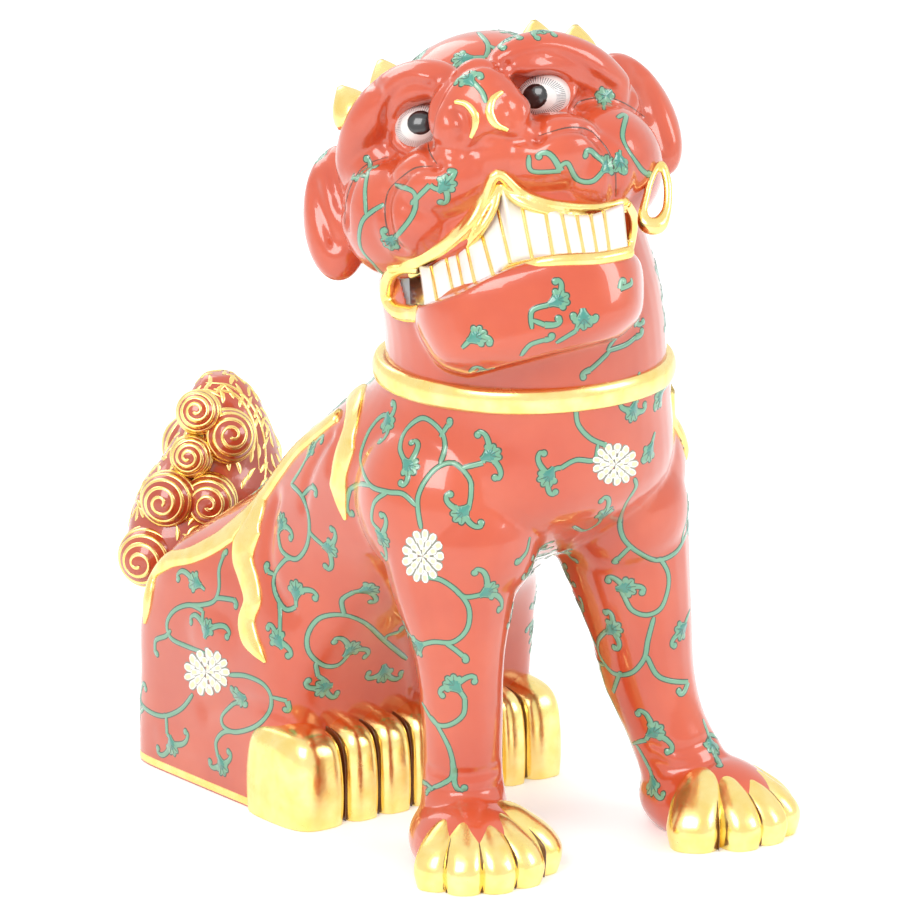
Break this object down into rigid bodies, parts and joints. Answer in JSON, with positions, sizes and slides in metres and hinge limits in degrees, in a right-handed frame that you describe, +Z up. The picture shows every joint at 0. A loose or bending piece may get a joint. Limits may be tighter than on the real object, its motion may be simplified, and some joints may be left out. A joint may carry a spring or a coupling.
{
  "type": "komainu figurine",
  "caption": "Seated porcelain komainu, a guardian lion-dog, with bared teeth, curled tail and gilt toes, painted with karakusa scrolls; a free-standing shelf ornament.",
  "frame": {"origin": "middle of the box round the figure, on the surface that it stands on", "axes": "+Z up; the body faces -Y, so the animal's left side is +X; the head is turned to its right, towards -X"},
  "size_m": [0.131, 0.2378, 0.2482],
  "materials": {
    "red_glaze": "glossy red-orange overglaze on porcelain",
    "white_glaze": "glossy white glazed porcelain",
    "gold": "burnished gold painted on porcelain",
    "tail_glaze": "glossy brownish-red overglaze with gold lines"
  },
  "bodies": {
    "root": {"body_shell": "red_glaze", "head_shell": "red_glaze", "lower_jaw": "red_glaze", "tooth_row": "white_glaze", "upper_lip_band": "gold", "lower_lip_band": "gold", "right_mouth_corner_ring": "gold", "left_mouth_corner_ring": "gold", "nose": "red_glaze", "right_eye": "white_glaze", "left_eye": "white_glaze", "right_brow": "red_glaze", "left_brow": "red_glaze", "right_inner_brow_tuft": "gold", "right_outer_brow_tuft": "gold", "left_inner_brow_tuft": "gold", "left_outer_brow_tuft": "gold", "right_ear": "red_glaze", "left_ear": "red_glaze", "neck_band": "gold", "right_shoulder_lock": "gold", "right_spine_lock": "gold", "right_flank_lock": "gold", "left_shoulder_lock": "gold", "left_spine_lock": "gold", "left_flank_lock": "gold", "right_front_leg": "red_glaze", "left_front_leg": "red_glaze", "right_front_toe_1": "gold", "right_front_toe_2": "gold", "right_front_toe_3": "gold", "right_front_toe_4": "gold", "right_front_toe_5": "gold", "left_front_toe_1": "gold", "left_front_toe_2": "gold", "left_front_toe_3": "gold", "left_front_toe_4": "gold", "left_front_toe_5": "gold", "right_hind_toe_1": "gold", "right_hind_toe_2": "gold", "right_hind_toe_3": "gold", "right_hind_toe_4": "gold", "left_hind_toe_1": "gold", "left_hind_toe_2": "gold", "left_hind_toe_3": "gold", "left_hind_toe_4": "gold", "tail_plume": "tail_glaze", "tail_curl_1": "tail_glaze", "tail_curl_2": "tail_glaze", "tail_curl_3": "tail_glaze", "tail_curl_4": "tail_glaze", "tail_curl_5": "tail_glaze", "tail_curl_6": "tail_glaze", "tail_curl_7": "tail_glaze", "tail_curl_8": "tail_glaze", "tail_curl_9": "tail_glaze", "tail_curl_10": "tail_glaze"}
  },
  "joints": []
}
